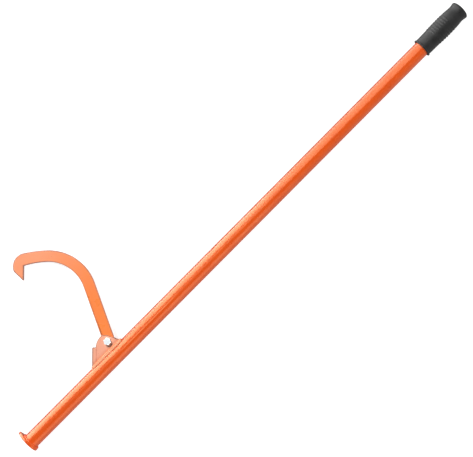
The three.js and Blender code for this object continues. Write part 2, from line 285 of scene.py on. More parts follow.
class Pen:
    """Draws a chain of edges in a new mesh, one stretch after another.

    Attributes:
        piece: The object that holds the drawing.
        place: Where the pen is now.
        axis: The axis that arcs turn about.
    """

    def __init__(self, name: str, start: Point, axis: Point = (0, 0, 1)) -> None:
        """Sets the pen down.

        Args:
            name: The name of the new object.
            start: Where the drawing starts.
            axis: The axis that arcs turn about, anticlockwise seen from its tip.
        """
        self.piece = begin(bpy.ops.mesh.primitive_plane_add, name, size=1, location=start)
        self.place = Vector(start)
        self.axis = Vector(axis)
        bpy.ops.object.mode_set(mode="EDIT")
        bpy.ops.mesh.select_mode(type="VERT")
        bpy.ops.mesh.select_all(action="SELECT")
        bpy.ops.mesh.merge(type="CENTER")

    def line(self, *points: Point) -> "Pen":
        """Draws straight lines from point to point.

        Args:
            *points: Where the lines go.

        Returns:
            The pen itself.
        """
        for point in map(Vector, points):
            step = point - self.place
            bpy.ops.mesh.extrude_region_move(TRANSFORM_OT_translate={"value": step})
            self.place = point
        return self

    def arc(self, centre: Point, turn: float, steps: int) -> "Pen":
        """Draws an arc round a centre.

        Args:
            centre: The arc's centre.
            turn: How far it goes round, in radians, anticlockwise where positive.
            steps: How many straight steps it is drawn in.

        Returns:
            The pen itself.
        """
        bpy.ops.mesh.spin(steps=steps, angle=-turn, center=centre, axis=self.axis, use_auto_merge=False)
        around = Matrix.Rotation(turn, 3, self.axis)
        self.place = around @ (self.place - Vector(centre)) + Vector(centre)
        return self

    def lift(self, filled: bool = False) -> Piece:
        """Ends the drawing and merges places that were drawn twice.

        Args:
            filled: Whether the outline gets a face.

        Returns:
            The drawn object.
        """
        bpy.ops.mesh.select_all(action="SELECT")
        bpy.ops.mesh.remove_doubles(threshold=SAME_PLACE)
        if filled:
            bpy.ops.mesh.edge_face_add()
        bpy.ops.object.mode_set(mode="OBJECT")
        return self.piece

    def plate(self, depth: Point) -> Piece:
        """Ends the drawing as an outline and pulls it out into a plate.

        Args:
            depth: The step from one flat side of the plate to the other.

        Returns:
            The plate.
        """
        with editing(self.lift(filled=True), everything=True):
            bpy.ops.mesh.extrude_region_move(TRANSFORM_OT_translate={"value": depth})
            bpy.ops.mesh.select_all(action="SELECT")
            bpy.ops.mesh.normals_make_consistent(inside=False)
        return self.piece


def turned(
    name: str, profile: Iterable[Point], centre: Point, axis: Point, steps: int, closed: bool = False
) -> Piece:
    """Turns a profile on a lathe.

    Args:
        name: The name of the new object.
        profile: The profile's corners, in a plane that holds the axis.
        centre: A point on the axis.
        axis: The axis's direction.
        steps: How many steps make the full turn.
        closed: Whether the profile comes back to its first corner instead of ending on the axis.

    Returns:
        The turned solid.
    """
    corners = list(profile)
    if closed:
        corners.append(corners[0])
    piece = Pen(name, corners[0]).line(*corners[1:]).lift()
    with editing(piece, everything=True):
        bpy.ops.mesh.spin(steps=steps, angle=FULL_TURN, center=centre, axis=axis, use_auto_merge=True)
        bpy.ops.mesh.select_all(action="SELECT")
        bpy.ops.mesh.remove_doubles(threshold=SAME_PLACE)
        bpy.ops.mesh.normals_make_consistent(inside=False)
    return piece


def mark_painted_light(piece: Piece, amount: Callable[[Vector], float]) -> None:
    """Marks how strongly each place of a piece takes the paint's edge colour: a painted shade on some
    pieces, a painted highlight on others.

    Args:
        piece: The piece.
        amount: Gives the mark from a place, and is cut to between 0 and 1.
    """
    marks = piece.data.attributes.get(PAINTED_LIGHT_MARK) or piece.data.attributes.new(PAINTED_LIGHT_MARK, "FLOAT", "POINT")
    marks.data.foreach_set("value", [min(max(amount(c.co), 0.0), 1.0) for c in piece.data.vertices])


def fade_painted_light(piece: Piece, share: Callable[[Vector], float]) -> None:
    """Weakens a piece's marks of painted shade in places.

    Args:
        piece: The piece.
        share: Gives the share that is left from a place, and is cut to between 0.5 and 1.
    """
    marks = piece.data.attributes[PAINTED_LIGHT_MARK]
    values = [mark.value * min(max(share(corner.co), 0.5), 1.0)
              for mark, corner in zip(marks.data, piece.data.vertices)]
    marks.data.foreach_set("value", values)


def round_edges(
    piece: Piece, facing: Point, rim: float, radius: float, steps: int = 3, sharp: float = 40
) -> None:
    """Rounds a plate's edges, and marks the rim of its two flat sides with the paint's edge colour, a
    painted shade along the outline.

    Args:
        piece: The plate.
        facing: The direction that its flat sides face.
        rim: How far in from the edge the flat sides stay marked.
        radius: The radius of the rounding.
        steps: How many steps make the rounding.
        sharp: The least angle in degrees at which an edge is rounded.
    """
    normal = Vector(facing)
    piece.vertex_groups.new(name=FLAT)
    with editing(piece):
        for sign in (1, -1):
            pick(piece, "FACE", lambda face: face.normal.dot(normal) * sign > 0.999)
            bpy.ops.mesh.inset(thickness=rim, depth=0, use_even_offset=True)
            bpy.ops.object.vertex_group_assign()
    shape_with(piece, "BEVEL", width=radius, segments=steps, limit_method="ANGLE",
               angle_limit=math.radians(sharp), offset_type="WIDTH", use_clamp_overlap=True)
    group = piece.vertex_groups[FLAT].index
    marks = piece.data.attributes.new(PAINTED_LIGHT_MARK, "FLOAT", "POINT")
    weights = [0 if any(g.group == group and g.weight > 0.5 for g in corner.groups) else 1
               for corner in piece.data.vertices]
    marks.data.foreach_set("value", weights)
    piece.vertex_groups.clear()


def mount(
    piece: Piece, node: str, material: Material, body: Body = Body.HANDLE,
    smooth: Smooth = Smooth.PLATE
) -> Piece:
    """Brings a finished piece to where its CAD node is, in metres and with the lean of the tool.

    Args:
        piece: The piece, in millimetres in the tool's own axes.
        node: The CAD node that it stands for.
        material: Its material.
        body: The CAD body that it rides on.
        smooth: How its shading is smoothed.

    Returns:
        The same piece.
    """
    piece.scale = (MM, MM, MM)
    piece.rotation_euler = (-LEAN, 0, 0)
    settle(piece)
    bpy.ops.object.shade_smooth_by_angle(angle=math.radians(smooth.value))
    piece.data.materials.clear()
    piece.data.materials.append(material)
    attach(piece, body.value)
    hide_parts(node)
    log.info("%s: %d faces, rides on %s", piece.name, len(piece.data.polygons), body.value)
    return piece


# Finishes


def linear(colour: str) -> tuple[float, float, float, float]:
    """Turns an sRGB hex colour into the linear values that Blender uses."""
    channels = [int(colour[i : i + 2], 16) / 255 for i in (1, 3, 5)]
    return (*[c / 12.92 if c <= 0.04045 else ((c + 0.055) / 1.055) ** 2.4 for c in channels], 1.0)


def per_mm(size: float) -> float:
    """The scale of a pattern on Object coordinates whose features are this many millimetres wide."""
    return 1 / (size * MM)


def add_node(tree: Tree, kind: str, sockets: Inputs = (), **settings: Any) -> bpy.types.Node:
    """Adds a node with its settings and links.

    Args:
        tree: The node tree.
        kind: The node's type, without its "ShaderNode".
        sockets: Inputs by name or number, each paired with a value or the output that feeds it.
        **settings: The node's own settings.

    Returns:
        The new node.
    """
    made = tree.nodes.new("ShaderNode" + kind)
    for name, value in settings.items():
        setattr(made, name, value)
    for name, value in dict(sockets).items():
        if isinstance(value, Socket):
            tree.links.new(value, made.inputs[name])
        else:
            made.inputs[name].default_value = value
    return made


def empty_tree(owner: Material | bpy.types.World) -> Tree:
    """Gives a material or the world an empty node tree.

    Args:
        owner: The material or the world.

    Returns:
        The tree.
    """
    owner.use_nodes = True
    owner.node_tree.nodes.clear()
    return owner.node_tree


@dataclass(frozen=True, kw_only=True)
class Finish:
    """What every finish of the tool has: layers of colour, a gloss that drifts and a fine relief.

    Widths, heights and depths are in millimetres.

    Attributes:
        name: The material's name.
        colour: The colour of clean ground.
        second: The colour that it drifts to.
        drift: The width of the slow drift of colour and gloss.
        drift_detail: How many finer noises the drift has.
        turn: The values of the drift between which the colour turns to the second one.
        roughness: The roughness of clean ground.
        swing: How far the roughness goes down and up from there.
        grain: The width of the relief's bumps.
        grain_depth: Their height.
        grain_detail: How many finer noises the relief has.
        grain_strength: How strongly it shows.
    """

    name: str
    colour: str
    second: str
    drift: float
    drift_detail: int = 3
    turn: tuple[float, float]
    roughness: float
    swing: tuple[float, float]
    grain: float
    grain_depth: float
    grain_detail: int = 1
    grain_strength: float

    def material(self) -> Material:
        """Builds the finish's node material.

        Returns:
            The material.
        """
        material = bpy.data.materials.new(self.name)
        tree = empty_tree(material)
        spot = add_node(tree, "TexCoord").outputs["Object"]
        drift = add_node(tree, "TexNoise", {
            "Vector": spot, "Scale": per_mm(self.drift), "Detail": self.drift_detail}).outputs["Fac"]
        tone = linear(self.colour)
        for share, colour in self._layers(tree, spot, drift):
            tone = add_node(tree, "Mix", zip(BLEND, (share, tone, linear(colour))),
                            data_type="RGBA").outputs[2]
        roughnesses = [self.roughness + step for step in self.swing]
        gloss = add_node(tree, "MapRange", zip(RANGE, (drift, *NOISE_SPAN, *roughnesses)))
        grain = add_node(tree, "TexNoise", {
            "Vector": spot, "Scale": per_mm(self.grain), "Detail": self.grain_detail})
        relief = add_node(tree, "Bump", {
            "Height": grain.outputs["Fac"], "Distance": self.grain_depth * MM,
            "Strength": self.grain_strength})
        shader = add_node(tree, "BsdfPrincipled", {
            "Base Color": tone, "Roughness": gloss.outputs[0], "Normal": relief.outputs[0],
            **self._optics()})
        add_node(tree, "OutputMaterial", {"Surface": shader.outputs[0]})
        return material

    def _layers(self, tree: Tree, spot: Socket, drift: Socket) -> list[Layer]:
        """Finds the colours that lie over the main one, from the lowest up.

        Args:
            tree: The node tree.
            spot: The place on the object.
            drift: The slow noise that moves the colour.

        Returns:
            The share and the colour of each layer.
        """
        amount = add_node(tree, "MapRange", zip(RANGE, (drift, *self.turn)))
        return [(amount.outputs[0], self.second)]

    def _optics(self) -> dict[str, Any]:
        """The shader's values that are the same all over."""
        return {}


@dataclass(frozen=True, kw_only=True)
class PowderCoat(Finish):
    """Polyester powder coat on steel: a hard glossy film with a faint orange peel.

    The film is sprayed as dry powder and baked, so it levels less than wet paint. Its edge colour is
    painted
    light: painted shade along outlines and in creases, painted highlight on the tube's seam and the toe
    plate.

    Attributes:
        edge: The colour of the marked places, which paints shade on the plates and highlight on the tube
            and the toe plate; the specks take it too.
        speck: The width of small dull specks, in millimetres.
        specks: The share of the surface that they cover.
        speck_edge: How softly they end, as a part of the noise that they come from.
        gloss_tint: The colour that the film gives to what it mirrors.
        painted_light_tip_colour: The paler colour away from the tube: a painted sheen, with the deeper
            colour near the tube as painted shade.
        painted_light_fade: The distances from the tube's axis, in metres, between which the colour turns
            to it.
        shine: The strength of what it mirrors, as Blender counts it, 0.5 being that of clear film.
    """

    drift: float = 38.0
    turn: tuple[float, float] = (0.35, 0.75)
    roughness: float = 0.36
    swing: tuple[float, float] = (-0.04, 0.05)
    grain: float = 2.6
    grain_depth: float = 0.05
    grain_strength: float = 0.6
    edge: str
    speck: float = 1.7
    specks: float = 0.3
    speck_edge: float = 0.06
    gloss_tint: str = "#ffffff"
    painted_light_tip_colour: str | None = None
    painted_light_fade: tuple[float, float] = (0.10, 0.32)
    shine: float = 0.5

    def _layers(self, tree: Tree, spot: Socket, drift: Socket) -> list[Layer]:
        """Adds the painted sheen of the tip, the painted light of the marked places and the specks to the
        film's own drift.

        Args:
            tree: The node tree.
            spot: The place on the object.
            drift: The slow noise that moves the colour.

        Returns:
            The share and the colour of each layer.
        """
        layers = super()._layers(tree, spot, drift)
        # Painted light: the colour turns paler away from the tube's axis.
        if self.painted_light_tip_colour:
            height = add_node(tree, "SeparateXYZ", {0: spot}).outputs["Y"]
            reach = add_node(tree, "MapRange", zip(RANGE, (height, *self.painted_light_fade)),
                             interpolation_type="SMOOTHSTEP")
            layers.append((reach.outputs[0], self.painted_light_tip_colour))
        # The marked places take the edge colour: painted shade or painted highlight, by piece.
        rim = add_node(tree, "Attribute", attribute_name=PAINTED_LIGHT_MARK)
        speck = add_node(tree, "TexNoise", {"Vector": spot, "Scale": per_mm(self.speck), "Detail": 2})
        clean = 1 - self.specks
        dull = add_node(tree, "MapRange", zip(RANGE, (
            speck.outputs["Fac"], clean, clean + self.speck_edge)))
        return [*layers, (rim.outputs["Fac"], self.edge), (dull.outputs[0], self.edge)]

    def _optics(self) -> dict[str, Any]:
        """The optics of a clear polyester film over pigment."""
        return {"IOR": 1.5, "Specular IOR Level": self.shine, "Specular Tint": linear(self.gloss_tint)}


@dataclass(frozen=True, kw_only=True)
class ZincPlate(Finish):
    """Bright zinc plate on a steel bolt and nut: satin metal with faint turning marks.

    The real marks, about a tenth of a millimetre apart, are too fine to show, so they are drawn coarser.
    """

    name: str = "bright_zinc_plate"
    colour: str = "#e4ebed"
    second: str = "#ccd5d9"
    drift: float = 4.0
    turn: tuple[float, float] = (0.0, 1.0)
    roughness: float = 0.24
    swing: tuple[float, float] = (0.0, 0.12)
    grain: float = 0.5
    grain_depth: float = 0.01
    grain_strength: float = 0.4

    def _optics(self) -> dict[str, Any]:
        """The optics of a metal."""
        return {"Metallic": 1.0}


@dataclass(frozen=True, kw_only=True)
class Moulding(Finish):
    """Black moulded rubber, or a nylon in white: a dull skin with a fine grain from its mould.

    A mould's grain, about a quarter of a millimetre, is too fine to show, so it is drawn coarser.

    Attributes:
        painted_crest_highlight: The paler colour painted on the crests of the ribs, a painted highlight.
        shine: The strength of what it mirrors, as Blender counts it, 0.5 being that of clear plastic.
    """

    drift: float = 16.0
    drift_detail: int = 4
    turn: tuple[float, float] = (0.4, 0.8)
    swing: tuple[float, float] = (-0.06, 0.06)
    grain: float = 0.9
    grain_depth: float = 0.05
    grain_detail: int = 2
    grain_strength: float = 0.7
    painted_crest_highlight: str
    shine: float = 0.5

    def _layers(self, tree: Tree, spot: Socket, drift: Socket) -> list[Layer]:
        """Adds the painted highlight on the crests to the skin's own drift.

        Args:
            tree: The node tree.
            spot: The place on the object.
            drift: The slow noise that moves the colour.

        Returns:
            The share and the colour of each layer.
        """
        crest = add_node(tree, "Attribute", attribute_name=PAINTED_LIGHT_MARK)
        return [*super()._layers(tree, spot, drift), (crest.outputs["Fac"], self.painted_crest_highlight)]

    def _optics(self) -> dict[str, Any]:
        """The optics of rubber and plastic."""
        return {"IOR": 1.5, "Specular IOR Level": self.shine}


class Finishes:
    """The materials of the tool, each made once."""

    def __init__(self) -> None:
        """Makes every material."""
        # The tube's film is deep orange and glossy, so the studio lies along it in soft warm bands.
        tube = dict(colour="#e45516", second="#dc4d10", roughness=0.24, gloss_tint="#ffedbc")
        self.tube_paint = PowderCoat(name="orange_powder_coat", edge="#f57c46", **tube).material()
        # The toe plate has the same film, with its inner side painted pale beyond the tube, a painted
        # highlight.
        self.toe_paint = PowderCoat(
            name="orange_powder_coat_on_the_toe", edge="#f2a180", **tube).material()
        # The clevis is the tube's film painted a smooth, paler salmon, a painted sheen; it is painted
        # deeper near the tube as painted shade, and its brown outlines are painted shade.
        self.clevis_paint = PowderCoat(
            name="pale_orange_powder_coat", colour="#eb9673", second="#e8906a", edge="#94614a",
            roughness=0.3, painted_light_tip_colour="#f2a98c", painted_light_fade=(0.0185, 0.0275)).material()
        # The welds are the same film painted pale and dull, a painted sheen; they are darker near the
        # cheeks, a painted shade in the crease.
        self.weld_paint = PowderCoat(
            name="powder_coat_over_weld", colour="#f8ae84", second="#f29f74", edge="#b5643a",
            roughness=0.5, shine=0.15).material()
        # The hook is the same film painted a lighter orange that turns to salmon at the beak, a painted
        # sheen; its thin dark outlines are painted shade.
        self.hook_paint = PowderCoat(
            name="light_orange_powder_coat", colour="#fd8943", second="#f9823f", edge="#a56b57",
            roughness=0.3, painted_light_tip_colour="#fe9f75").material()
        # Zinc shows as a bright, slightly blue spot whose flats mirror the sky in one tone each.
        self.zinc = ZincPlate().material()
        # Nylon is a warm white that takes a soft highlight.
        self.nylon = Moulding(
            name="white_nylon", colour="#e9e6dc", second="#dedacd", painted_crest_highlight="#f0eee6", roughness=0.45,
            grain_depth=0.01).material()
        # Rubber drinks the light: a dull grey-black whose ribs stand out a little paler, by a painted
        # highlight on their crests.
        self.rubber = Moulding(
            name="black_moulded_rubber", colour="#1e1e1e", second="#282828", painted_crest_highlight="#393939",
            roughness=0.5, shine=0.2).material()


# Sub-assemblies


@dataclass
class WeldBead:
    """A rippled weld: a row of flat drops that lean on each other and have run together.

    Lengths are in millimetres.

    Attributes:
        radius: The bead's radius.
        pitch: The distance between drops.
        grain: The size of the faces that the bead is made of.
        seed: The seed of its small irregularities.
        girths: The least and the most that a drop's radius may be, as shares of the bead's.
        slip: How far a drop may lie off its place, as a share of the pitch.
        reach: Half of a drop's length, as a share of the pitch.
        lean: How far a drop leans back into the joint for each step along it.
        melting: How strongly and how often the ripples are smoothed, so that they look melted.
    """

    radius: float
    pitch: float
    grain: float
    seed: int
    girths: tuple[float, float] = (0.96, 1.03)
    slip: float = 0.1
    reach: float = 1.2
    lean: float = 0.75
    melting: tuple[float, int] = (0.5, 4)

    def lay(self, name: str, drops: Sequence[tuple[Vector, Vector, Vector]]) -> Piece:
        """Lays the bead.

        Args:
            name: The name of the new object.
            drops: The centre of each drop, the direction of travel there and the way out of the joint.

        Returns:
            The bead, in one closed mesh.
        """
        chance = random.Random(self.seed)
        drop = begin(bpy.ops.mesh.primitive_uv_sphere_add, "drop", segments=20, ring_count=12, radius=1)
        pieces = []
        for centre, travel, out in drops:
            made = bring_in(name, drop.data.copy())
            girth = self.radius * chance.uniform(*self.girths)
            made.scale = (girth, girth, self.reach * self.pitch)
            made.rotation_mode = "QUATERNION"
            made.rotation_quaternion = (travel - self.lean * out).to_track_quat("Z", "Y")
            made.location = centre + travel * self.pitch * chance.uniform(-self.slip, self.slip)
            pieces.append(settle(made))
        bpy.data.objects.remove(drop)
        piece = joined(pieces)
        piece.name = name
        shape_with(piece, "REMESH", mode="VOXEL", voxel_size=self.grain)
        shape_with(piece, "SMOOTH", factor=self.melting[0], iterations=self.melting[1])
        return piece


@dataclass
class Handle:
    """The long steel tube with the toe plate welded across its foot. Lengths are in millimetres.

    Attributes:
        radius: The tube's outer radius.
        wall: The tube's wall.
        start: Where the tube starts, just off the toe plate.
        end: Where it ends, inside the grip.
        columns: How many facets go round the tube.
        seam_turn: Where the drawn seam lies, in degrees from the top towards the side away from the hook.
        seam_half: Half the seam's width, in degrees round the tube.
        seam_rise: How far the seam stands proud.
        seam: The two places along the tube between which it can be seen.
        seam_fade: The length over which it fades out.
        plate_radius: The radius of the toe plate's round back.
        plate_depth: The toe plate's thickness.
        point_reach: How far the toe plate's point lies from the tube's axis.
        plate_rounding: The rounding of the toe plate's edges.
        plate_rim: The width of the marked rim on its flat sides.
        plate_fade: How far beyond the tube its inner side turns to the pale edge colour, a painted
            highlight.
        weld_radius: The radius of the weld round the foot.
        weld_offset: How far that weld's middle lies out of the corner, both ways.
        weld_pitch: The distance between the weld's ripples.
    """

    radius: float = TUBE_RADIUS
    wall: float = 2.0
    start: float = 5.3
    end: float = 1214.1
    columns: int = 128
    seam_turn: float = 1.5
    seam_half: float = 2.2
    seam_rise: float = 0.2
    seam: tuple[float, float] = (284.0, 396.0)
    seam_fade: float = 26.0
    plate_radius: float = 20.0
    plate_depth: float = 5.0
    point_reach: float = 29.5
    plate_rounding: float = 1.3
    plate_rim: float = 2.1
    plate_fade: float = 5.0
    weld_radius: float = 2.448
    weld_offset: float = 1.02
    weld_pitch: float = 2.2

    def tube(self) -> Piece:
        """Turns the tube and raises the drawn seam along it.

        Returns:
            The tube.
        """
        bore = self.radius - self.wall
        first, last = self.seam
        stations = [self.start, first - self.seam_fade, first, last, last + self.seam_fade, self.end]
        profile = [(self.start, bore, 0), *[(x, self.radius, 0) for x in stations], (self.end, bore, 0)]
        piece = turned("painted_tube", profile, (0, 0, 0), (1, 0, 0), self.columns, closed=True)
        seam = QUARTER_TURN + math.radians(self.seam_turn)
        half = math.radians(self.seam_half)

        def on_seam(spot: Vector) -> bool:
            """Says whether a place on the tube's skin lies on the seam."""
            return (first - 1 < spot.x < last + 1 and math.hypot(spot.y, spot.z) > bore + 1
                    and abs(math.atan2(spot.z, spot.y) - seam) < half)

        # A painted highlight: the seam takes the lighter edge colour along its ridge.
        mark_painted_light(piece, on_seam)
        with editing(piece):
            pick(piece, "VERT", lambda corner: on_seam(corner.co))
            rise = Vector((0, math.cos(seam), math.sin(seam))) * self.seam_rise
            bpy.ops.transform.translate(value=rise)
        return piece

    def toe_plate(self) -> Piece:
        """Draws the toe plate: a round back drawn out to a point on the hook's side.

        Returns:
            The toe plate.
        """
        shift = (self.point_reach**2 - self.plate_radius**2) / (2 * self.plate_radius)
        flank_turn = math.asin(self.point_reach / (self.plate_radius + shift))
        pen = Pen("painted_toe_plate", (0, 0, self.plate_radius), axis=(1, 0, 0))
        pen.arc((0, 0, 0), HALF_TURN, steps=48)
        pen.arc((0, 0, shift), flank_turn, steps=16).arc((0, 0, -shift), flank_turn, steps=16)
        piece = pen.plate((self.plate_depth, 0, 0))
        round_edges(piece, (1, 0, 0), self.plate_rim, self.plate_rounding)
        # A painted highlight: past the tube, the inner side turns pale in the edge colour; the rest is
        # left unmarked.
        inner = self.plate_depth - 0.1
        mark_painted_light(piece, lambda c: (c.y - self.radius) / self.plate_fade if c.x > inner else 0)
        return piece

    def toe_weld(self) -> Piece:
        """Lays the rippled weld round the foot of the tube.

        Returns:
            The weld.
        """
        ring = self.radius + self.weld_offset
        count = round(FULL_TURN * ring / self.weld_pitch)
        drops = []
        for turn in (i * FULL_TURN / count for i in range(count)):
            away = Vector((0, math.cos(turn), math.sin(turn)))
            centre = Vector((self.plate_depth + self.weld_offset, 0, 0)) + away * ring
            drops.append((centre, Vector((0, -away.z, away.y)), (away + Vector((1, 0, 0))).normalized()))
        return WeldBead(self.weld_radius, self.weld_pitch, grain=0.3, seed=3).lay("toe_weld_bead", drops)

    def dress(self, finishes: Finishes) -> Piece:
        """Builds the handle's pieces and mounts them in their paint.

        Args:
            finishes: The tool's materials.

        Returns:
            The tube.
        """
        tube = mount(self.tube(), "handle_tube", finishes.tube_paint)
        mount(self.toe_plate(), "toe_plate", finishes.toe_paint)
        mount(self.toe_weld(), "toe_weld", finishes.tube_paint, smooth=Smooth.SOFT)
        return tube


@dataclass
class Clevis:
    """Two cheeks and a sloping stop plate, welded to the tube. Lengths are in millimetres.

    The cheeks' outline has its origin at the pivot. Its straight edges are given by their distance from
    the pivot and the angle at which they face outwards, in degrees.

    Attributes:
        tube_radius: The tube's outer radius.
        pivot: The pivot's place along the tube and its height above the tube's axis.
        inner_face: The distance of a cheek's inner face from the middle.
        thickness: A cheek's thickness.
        top: The distance and angle of the cheek's top edge.
        end: The distance and angle of its end edge.
        nose_radius: The rounding between the top and the end.
        crown_rise: The height of the cheek's crown above the pivot.
        back_bulge: How far its back bulges.
        stop_station: Where the stop plate's outer face meets the tube's side.
        stop_angle: The stop plate's slope, in degrees.
        stop_length: Its length up the slope.
        stop_thickness: Its thickness.
        stop_overhang: How far it reaches beyond the cheeks at the sides.
        stop_step: How far the cheek's shoulder lies below the stop plate's top.
        gap: The gap between the stop plate and the cheeks, less than 0 where their paint closes it.
        bury: How deep the plates' feet lie under the tube's skin.
        bead_radius: The radius of the weld along a cheek.
        bead_sink: How far that weld's middle lies inside the cheek's outer face.
        bead_rise: How far it lies above the corner between the cheek and the tube.
        bead_pitch: The distance between its ripples.
        stop_bead_radius: The radius of the weld across the stop plate.
        rounding: The rounding of the plates' edges.
        rim: The width of the marked rim on the cheeks' flat sides.
        rim_fade: The height above the tube over which that rim comes up in full.
        stop_rim: The width of the marked rim on the stop plate's side.
    """

    tube_radius: float = TUBE_RADIUS
    pivot: tuple[float, float] = PIVOT
    inner_face: float = 4.35
    thickness: float = 4.0
    top: tuple[float, float] = (12.2, 45.0)
    end: tuple[float, float] = (11.1, 23.5)
    nose_radius: float = 9.0
    crown_rise: float = 15.9
    back_bulge: float = 3.6
    stop_station: float = 196.3
    stop_angle: float = 45.0
    stop_length: float = 40.4
    stop_thickness: float = 8.0
    stop_overhang: float = 1.0
    stop_step: float = 0.6
    gap: float = -1.0
    bury: float = 0.7
    bead_radius: float = 4.5
    bead_sink: float = 1.9
    bead_rise: float = 1.5
    bead_pitch: float = 2.6
    stop_bead_radius: float = 3.0
    rounding: float = 0.7
    # rim: The width of the painted shade along the rim of the cheeks' flat sides.
    rim: float = 1.6
    rim_fade: float = 12.0
    # stop_rim: The width of the painted shade on the stop plate's side, next to its outer face.
    stop_rim: float = 3.2

    @property
    def outer_face(self) -> float:
        """The distance of a cheek's outer face from the middle."""
        return self.inner_face + self.thickness

    def _cut_foot(self, piece: Piece) -> None:
        """Cuts a plate's foot to sit in the tube's skin.

        Args:
            piece: The plate.
        """
        cut_with(piece, begin(
            bpy.ops.mesh.primitive_cylinder_add, "saddle", vertices=96,
            radius=self.tube_radius - self.bury, depth=400, location=(self.pivot[0], 0, 0),
            rotation=(0, QUARTER_TURN, 0)))

    def _crossing(self, first: tuple[float, float], second: tuple[float, float]) -> Vector:
        """Finds where two straight edges of the cheek cross.

        Args:
            first: The distance and angle of one edge.
            second: Those of the other.

        Returns:
            The crossing, from the pivot.
        """
        a, b = math.radians(first[1]), math.radians(second[1])
        along = first[0] * math.sin(b) - second[0] * math.sin(a)
        up = second[0] * math.cos(a) - first[0] * math.cos(b)
        return Vector((along, up, 0)) / math.sin(b - a)

    def _beside_stop(self, distance: float) -> Vector:
        """Finds a place beside the stop plate's inner face.

        Args:
            distance: How far up the slope it lies.

        Returns:
            The place, from the pivot.
        """
        slope = Matrix.Rotation(math.radians(self.stop_angle), 3, "Z")
        foot = Vector((self.stop_station - self.pivot[0], self.tube_radius - self.pivot[1], 0))
        return slope @ Vector((distance, -self.stop_thickness - self.gap, 0)) + foot

    def _back(self, crown: Vector, shoulder: Vector) -> list[Vector]:
        """Finds the cheek's bulged back.

        Args:
            crown: Its upper end.
            shoulder: Its lower end.

        Returns:
            The points after the crown, down to the shoulder.
        """
        chord = crown - shoulder
        bulge = Vector((-chord.y, chord.x, 0)).normalized() * 2 * self.back_bulge
        middle = shoulder + chord / 2 + bulge
        steps = 12
        shares = [i / steps for i in range(1, steps + 1)]
        return [crown * (1 - t) ** 2 + middle * 2 * t * (1 - t) + shoulder * t**2 for t in shares]

    def cheek(self, side: Side) -> Piece:
        """Draws a cheek, drills it and cuts its foot to the tube.

        Args:
            side: The side of the hook that it stands on.

        Returns:
            The cheek.
        """
        nose = self._crossing((self.top[0] - self.nose_radius, self.top[1]),
                              (self.end[0] - self.nose_radius, self.end[1]))
        crown = self._crossing(self.top, (self.crown_rise, 90))
        shoulder = self._beside_stop(self.stop_length - self.stop_step)
        heel = self._beside_stop(0)
        toe = self._crossing(self.end, (heel.y, 90))
        facing = math.radians(self.end[1])
        round_start = nose + Vector((math.cos(facing), math.sin(facing), 0)) * self.nose_radius
        base = Vector((*self.pivot, self.inner_face if side is Side.NEAR else -self.outer_face))

        pen = Pen(f"{side.name.lower()}_cheek_plate", base + heel)
        pen.line(base + toe, base + round_start)
        pen.arc(base + nose, math.radians(self.top[1] - self.end[1]), steps=6)
        pen.line(*[base + point for point in (crown, *self._back(crown, shoulder), heel)])
        piece = pen.plate((0, 0, self.thickness))
        drill(piece, BOLT_HOLE, (*self.pivot, 0))
        self._cut_foot(piece)
        # Rounded edges, with painted shade along the outline that weakens near the tube.
        round_edges(piece, (0, 0, 1), self.rim, self.rounding)
        fade_painted_light(piece, lambda c: (c.y - self.tube_radius) / self.rim_fade)
        return piece

    def stop_plate(self) -> Piece:
        """Sets the stop plate on its slope and cuts its foot to the tube.

        Returns:
            The stop plate.
        """
        buried = 10.0
        width = 2 * (self.outer_face + self.stop_overhang)
        piece = begin(bpy.ops.mesh.primitive_cube_add, "stop_plate_slab", size=1)
        piece.scale = (self.stop_length + buried, self.stop_thickness, width)
        piece.location = ((self.stop_length - buried) / 2, -self.stop_thickness / 2, 0)
        settle(piece)
        piece.rotation_euler = (0, 0, math.radians(self.stop_angle))
        piece.location = (self.stop_station, self.tube_radius, 0)
        settle(piece)
        self._cut_foot(piece)
        round_edges(piece, (0, 0, 1), self.stop_rim, self.rounding)
        # A painted shade: the half of the side next to the outer face takes the dark edge colour, fading
        # over the rest.
        away = Vector((-1, 1, 0)).normalized()
        outer = Vector((self.stop_station, self.tube_radius, 0)).dot(away)
        mark_painted_light(piece, lambda c: 2 * (c.dot(away) - outer + self.stop_rim) / self.stop_rim)
        return piece

    def cheek_weld(self, side: Side) -> Piece:
        """Lays the weld along a cheek's outer foot.

        Args:
            side: The side of the hook that the cheek stands on.

        Returns:
            The bead, cut off inside the cheek.
        """
        corner = math.sqrt(self.tube_radius**2 - self.outer_face**2)
        start = self.stop_station + self.bead_radius / 2
        toe = self._crossing(self.end, (corner - self.pivot[1], 90))
        end = self.pivot[0] + toe.x - self.bead_radius / 2
        across = side.value * (self.outer_face - self.bead_sink)
        count = round((end - start) / self.bead_pitch)
        out = Vector((0, 0.5, side.value)).normalized()
        height = corner + self.bead_rise
        drops = [(Vector((start + (end - start) * i / count, height, across)), Vector((1, 0, 0)), out)
                 for i in range(count + 1)]
        bead = WeldBead(self.bead_radius, self.bead_pitch, grain=0.4, seed=11 + side.value)
        piece = bead.lay(f"{side.name.lower()}_cheek_bead", drops)
        with editing(piece, everything=True):
            bpy.ops.mesh.bisect(
                plane_co=(0, 0, side.value * (self.inner_face + self.thickness / 2)),
                plane_no=(0, 0, side.value), use_fill=True, clear_inner=True)
        # A painted shade in the crease: the upper side turns towards the dark edge colour, the more so
        # the closer it comes to the cheek.
        most, near, far = 0.6, self.outer_face + 1, self.outer_face + 3
        mark_painted_light(piece, lambda c: min((far - abs(c.z)) / (far - near), most) if c.y > height + 1 else 0)
        return piece

